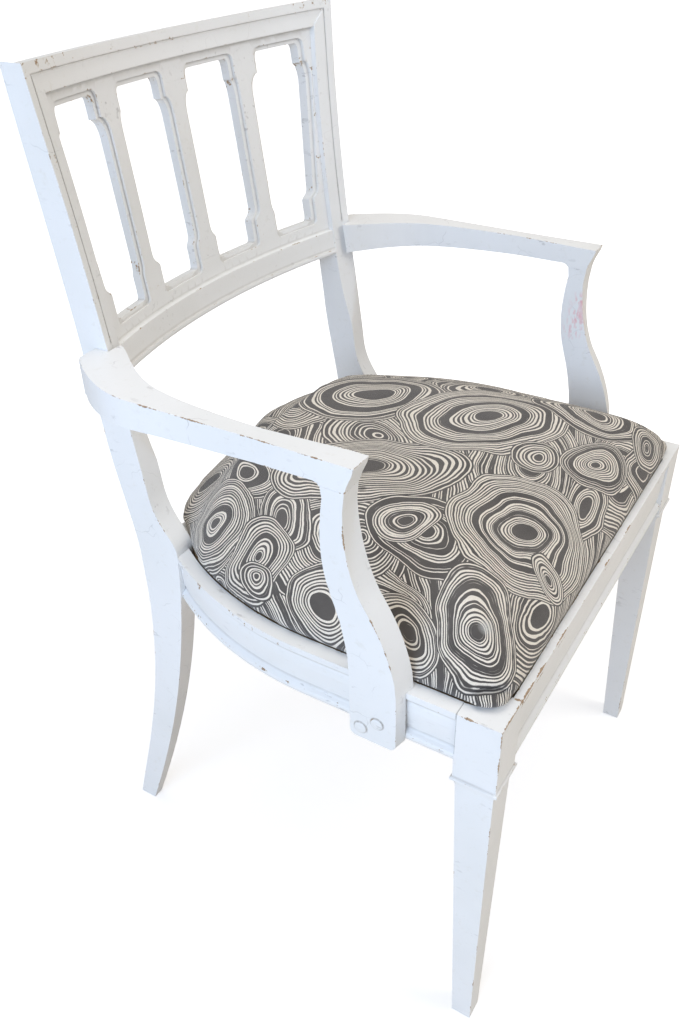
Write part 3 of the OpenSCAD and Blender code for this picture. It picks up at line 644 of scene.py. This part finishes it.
def makeCloth(settings):
    shader = Shader("printedLinen")
    cloth = shader.make("ShaderNodeUVMap", uv_map="clothPlan").outputs[0]
    spot = shader.place()
    wave = shader.make("ShaderNodeTexNoise", {"Vector": cloth, "Scale": 13.0, "Detail": 1.0})
    drift = shader.vector("SUBTRACT", wave.outputs["Color"], (0.5, 0.5, 0.5))
    ripple = shader.make("ShaderNodeTexNoise", {"Vector": cloth, "Scale": 75.0, "Detail": 1.0})
    shiver = shader.vector("SUBTRACT", ripple.outputs["Color"], (0.5, 0.5, 0.5))
    large = (settings["drift"], settings["drift"], 0)
    bent = shader.vector("ADD", cloth, shader.vector("MULTIPLY", drift, large))
    small = (settings["shiver"], settings["shiver"], 0)
    bent = shader.vector("ADD", bent, shader.vector("MULTIPLY", shiver, small))
    wobble = shader.calc("SUBTRACT", shader.cloud(cloth, 20, 0, 0.4), 0.5)

    # each oval hands on its own radius, its size and a number that sets its lines
    ground = shader.calc("ADD", shader.vector("DOT_PRODUCT", bent, (520, -850, 0)), 5000.0)
    top = shader.make("ShaderNodeCombineXYZ", {"X": ground, "Y": 9000.0, "Z": 0.0}).outputs[0]
    for index, (across, along, halfAcross, halfAlong, turn) in enumerate(printOvals):
        half = 1000 * min(halfAcross, halfAlong)
        mapped = shader.make("ShaderNodeMapping", {
            "Vector": bent, "Location": (across, along, 0), "Rotation": (0, 0, math.radians(turn)),
            "Scale": (halfAcross, halfAlong, 1)}, vector_type="TEXTURE").outputs[0]
        flat = shader.vector("MULTIPLY", mapped, (1, 1, 0))
        radius = shader.calc("ADD", shader.vector("LENGTH", flat), shader.calc("MULTIPLY", wobble, 0.20))
        own = shader.make("ShaderNodeCombineXYZ", {"X": shader.calc("MULTIPLY", radius, half), "Y": half,
                                                   "Z": 83.0 + 61.7 * index}).outputs[0]
        blend = shader.make("ShaderNodeMix", data_type="VECTOR")
        shader.feed(blend.inputs[0], shader.calc("LESS_THAN", radius, 1.0))
        shader.feed(blend.inputs[4], top)
        shader.feed(blend.inputs[5], own)
        top = blend.outputs[1]
    parts = shader.make("ShaderNodeSeparateXYZ", {"Vector": top})
    fromMiddle, size, number = parts.outputs
    rings = shader.calc("ADD", fromMiddle, number)
    fromRim = shader.calc("SUBTRACT", size, fromMiddle)

    # groups of fine cream lines with plain dark bands between them
    group = shader.cloud(None, 0.115, 1.0, 0.5, "1D", w=rings)
    beat = shader.calc("ADD", shader.calc("DIVIDE", rings, settings["linePitch"]),
                       shader.calc("MULTIPLY", group, 1.2))
    swing = shader.calc("SINE", shader.calc("MULTIPLY", beat, 2 * math.pi))
    uneven = shader.calc("MULTIPLY", shader.calc("SUBTRACT", shader.cloud(cloth, 90, 1, 0.5), 0.5), 0.55)
    turns = shader.calc("SUBTRACT", shader.cloud(None, 0.43, 0, 0.5, "1D", w=rings), 0.5)
    uneven = shader.calc("ADD", uneven, shader.calc("MULTIPLY", turns, 1.7))
    limit = shader.calc("ADD", shader.step(group, 0.36, 0.54, 1.25, -0.15), uneven)
    line = shader.step(shader.calc("SUBTRACT", swing, limit), -0.10, 0.12)
    # a dark core, and a cream line and a dark one round the rim of each oval
    chance = shader.cloud(None, 0.31, 0, 0.5, "1D", w=number)
    share = shader.step(chance, 0.35, 0.65, settings["leastCore"], settings["mostCore"])
    core = shader.calc("MINIMUM", shader.calc("MULTIPLY", size, share), settings["coreLimit"])
    line = shader.calc("MULTIPLY", line, shader.step(shader.calc("SUBTRACT", fromMiddle, core), 0.0, 0.4))
    collar = shader.calc("MULTIPLY", shader.step(fromRim, 2.3, 2.5, 1, 0), shader.step(fromRim, 1.2, 1.4))
    line = shader.calc("MAXIMUM", shader.calc("MULTIPLY", line, shader.step(fromRim, 3.6, 3.8)), collar)

    fade = shader.cloud(cloth, 14, 4, 0.6)
    dark = shader.mix(shader.step(fade, 0.35, 0.7), settings["charcoal"], settings["charcoalWorn"])
    slub = shader.cloud(cloth, 700, 3, 0.7)
    printed = shader.calc("MULTIPLY", line, shader.step(slub, 0.25, 0.5, 0.72, 1.0))
    color = shader.mix(printed, dark, settings["cream"])
    rubbed = shader.step(shader.vector("DISTANCE", spot, settings["rubbedSpot"]), 0.003, 0.009, 1, 0)
    rubbed = shader.calc("MULTIPLY", rubbed, shader.step(slub, 0.3, 0.6, 0.4, 1))
    color = shader.mix(shader.calc("MULTIPLY", rubbed, 0.75), color, settings["rubbed"])
    darkMark = shader.step(shader.calc("ADD", shader.vector("DISTANCE", spot, settings["stainSpot"]),
                                    shader.calc("MULTIPLY", wobble, 0.01)), 0.004, 0.007, 1, 0)
    # the crease of each corner fold is darkened as painted shade, next to the real stain spot
    stainAndFoldShade = shader.calc("MAXIMUM", darkMark, shader.step(shader.attribute("tucked"), 0.35, 0.95))
    color = shader.mix(shader.calc("MULTIPLY", stainAndFoldShade, 0.8), color, settings["darkMark"])

    # linen weave: threads both ways, a little uneven, with painted shade where the weave lies low
    axes = shader.make("ShaderNodeSeparateXYZ", {"Vector": shader.vector("ADD", cloth, shader.vector(
        "MULTIPLY", drift, (0.002, 0.002, 0)))})
    warp = shader.calc("SINE", shader.calc("MULTIPLY", axes.outputs[0], settings["weave"] * 2 * math.pi))
    weft = shader.calc("SINE", shader.calc("MULTIPLY", axes.outputs[1], settings["weave"] * 2 * math.pi))
    weave = shader.calc("ADD", shader.calc("MULTIPLY", shader.calc("MULTIPLY", warp, weft), 0.5),
                        shader.calc("MULTIPLY", slub, 0.9))
    # painted shade: darker where the weave lies low
    color = shader.mix(shader.step(weave, 0.0, 0.9, 0.20, 0.0), color, (0.03, 0.03, 0.03, 1))
    rough = shader.calc("SUBTRACT", settings["roughness"], shader.calc("MULTIPLY", rubbed, 0.35))
    return shader.wear(color, rough, shader.bump(weave, 0.0005, 0.5), **{
        "Sheen Weight": settings["sheen"], "Specular IOR Level": 0.25})


cushionSettings = {
    "voxel": 0.006, "pressure": 4.0, "mostSwell": 0.005, "swellFrames": 20, "smoothing": 10,
    "railTop": 0.435, "halfWidth": 0.237, "halfDepth": 0.201, "middle": -0.0365, "crownTop": 0.512,
    "fill": 0.0012, "overhang": 0.0034,
    "cornerAcross": 0.2275, "cornerAlong": -0.2288, "foldHeight": 0.015, "foldHalf": 0.0165, "foldArch": 20,
    "foldOut": 0.0060, "foldIn": 0.0050, "foldReach": 0.05, "foldShift": 0.004, "foldLeast": 0.004,
    "creaseHalf": 0.0035, "planDrop": 0.85, "slack": 0.0012,
}


def settled(piece):
    graph = bpy.context.evaluated_depsgraph_get()
    mesh = bpy.data.meshes.new_from_object(piece.evaluated_get(graph))
    piece.modifiers.clear()
    old = piece.data
    piece.data = mesh
    bpy.data.meshes.remove(old)
    return mesh


# Way in plan from the middle of the seat to its nearest side
def outwardAt(point, settings):
    across = point.x / settings["halfWidth"]
    along = (point.y - settings["middle"]) / settings["halfDepth"]
    way = Vector((across ** 3 / settings["halfWidth"], along ** 3 / settings["halfDepth"], 0))
    return way.normalized() if way.length > 1e-9 else Vector()


def swell(cushion, settings):
    before = [vertex.co.copy() for vertex in cushion.data.vertices]
    cloth = cushion.modifiers.new("swell", "CLOTH")
    cloth.settings.quality = 5
    cloth.settings.mass = 0.3
    cloth.settings.use_pressure = True
    cloth.settings.uniform_pressure_force = settings["pressure"]
    cloth.settings.effector_weights.gravity = 0
    cloth.point_cache.frame_start = 1
    cloth.point_cache.frame_end = settings["swellFrames"]
    for frameNumber in range(1, settings["swellFrames"] + 1):
        scene.frame_set(frameNumber)
    mesh = settled(cushion)
    scene.frame_set(1)
    for vertex, start in zip(mesh.vertices, before):
        move = vertex.co - start
        free = min(1.0, max(0.0, (start.z - settings["railTop"] - 0.002) / 0.02))
        most = settings["mostSwell"] * free
        if move.length > most:
            move = move.normalized() * most if move.length > 1e-9 else Vector()
        vertex.co = start + move


def shapeCushion(mesh, settings, hull):
    for vertex in mesh.vertices:
        point = vertex.co
        # full at the rails, and just over their inner edges
        hold = min(1.0, max(0.0, (settings["railTop"] + 0.030 - point.z) / 0.022))
        if hold > 0 and point.z > settings["railTop"] - 0.012:
            nearest = hull.find_nearest(point)[0]
            point += (nearest - point) * hold
        rise = min(1.0, max(0.0, (point.z - settings["railTop"]) / 0.004))
        rise *= min(1.0, max(0.0, (settings["railTop"] + 0.042 - point.z) / 0.022))
        byLeg = 0.3 if abs(point.x) > 0.160 and point.y > 0.095 else 1.0
        point += outwardAt(point, settings) * byLeg * (settings["fill"] + settings["overhang"] * rise)
        # slack in the cloth near the rails
        low = max(0.0, 1 - abs(point.z - 0.452) / 0.02)
        point += outwardAt(point, settings) * low * settings["slack"] * noise.noise(point * 26)


# The rolled fold of cloth at a front corner: its side, nearness and height of its crease
def foldAt(point, settings):
    for side in (-1, 1):
        across, along = side * point.x - settings["cornerAcross"], point.y - settings["cornerAlong"]
        if math.hypot(across, along) < settings["foldReach"]:
            way = (across + along) / math.sqrt(2) - settings["foldShift"]
            near = math.exp(-(way / settings["foldHalf"]) ** 4)
            crease = settings["foldHeight"] - settings["foldArch"] * way * way
            return side, near, max(settings["foldLeast"], crease)
    return None


def foldCorners(mesh, settings):
    depths = []
    for vertex in mesh.vertices:
        depth = 0.0
        fold = foldAt(vertex.co, settings)
        if fold:
            side, near, crease = fold
            above = vertex.co.z - settings["railTop"]
            roll = max(0.0, 1 - ((above - 0.45 * crease) / (0.5 * crease)) ** 2)
            roll *= min(1.0, max(0.0, above / 0.003))
            depth = near * max(0.0, 1 - ((above - crease) / settings["creaseHalf"]) ** 2)
            push = near * settings["foldOut"] * roll - settings["foldIn"] * depth
            vertex.co += Vector((side, -1, 0)).normalized() * push
        depths.append(depth)
    # how deep each point lies in the fold's crease; the cloth darkens it as painted shade
    mesh.attributes.new("tucked", "FLOAT", "POINT").data.foreach_set("value", depths)


# The cloth laid flat
def layPlan(mesh, settings):
    plan = mesh.uv_layers.new(name="clothPlan")
    for loop in mesh.loops:
        point = mesh.vertices[loop.vertex_index].co
        drop = max(0.0, settings["crownTop"] - point.z)
        spread = point + outwardAt(point, settings) * drop * settings["planDrop"]
        plan.data[loop.index].uv = (spread.x, spread.y)


def makeCushion(settings):
    bm = cleanCopy("seat_cushion")
    hull = BVHTree.FromBMesh(bm)
    mesh = bpy.data.meshes.new("seatCushion")
    bm.to_mesh(mesh)
    bm.free()
    cushion = bpy.data.objects.new("seatCushion", mesh)
    scene.collection.objects.link(cushion)
    remesh = cushion.modifiers.new("remesh", "REMESH")
    remesh.mode = "VOXEL"
    remesh.voxel_size = settings["voxel"]
    smooth = cushion.modifiers.new("smooth", "SMOOTH")
    smooth.factor = 0.5
    smooth.iterations = settings["smoothing"]
    settled(cushion)
    swell(cushion, settings)
    shapeCushion(cushion.data, settings, hull)
    finer = cushion.modifiers.new("finer", "SUBSURF")
    finer.levels = finer.render_levels = 1
    mesh = settled(cushion)
    mesh.name = "seatCushion"
    foldCorners(mesh, settings)
    layPlan(mesh, settings)
    for face in mesh.polygons:
        face.use_smooth = True
    mesh.materials.clear()
    mesh.materials.append(makeCloth(clothSettings))
    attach(cushion, "root")
    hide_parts("seat_cushion")
    return cushion


cushion = makeCushion(cushionSettings)
print("cushion made", len(cushion.data.polygons))
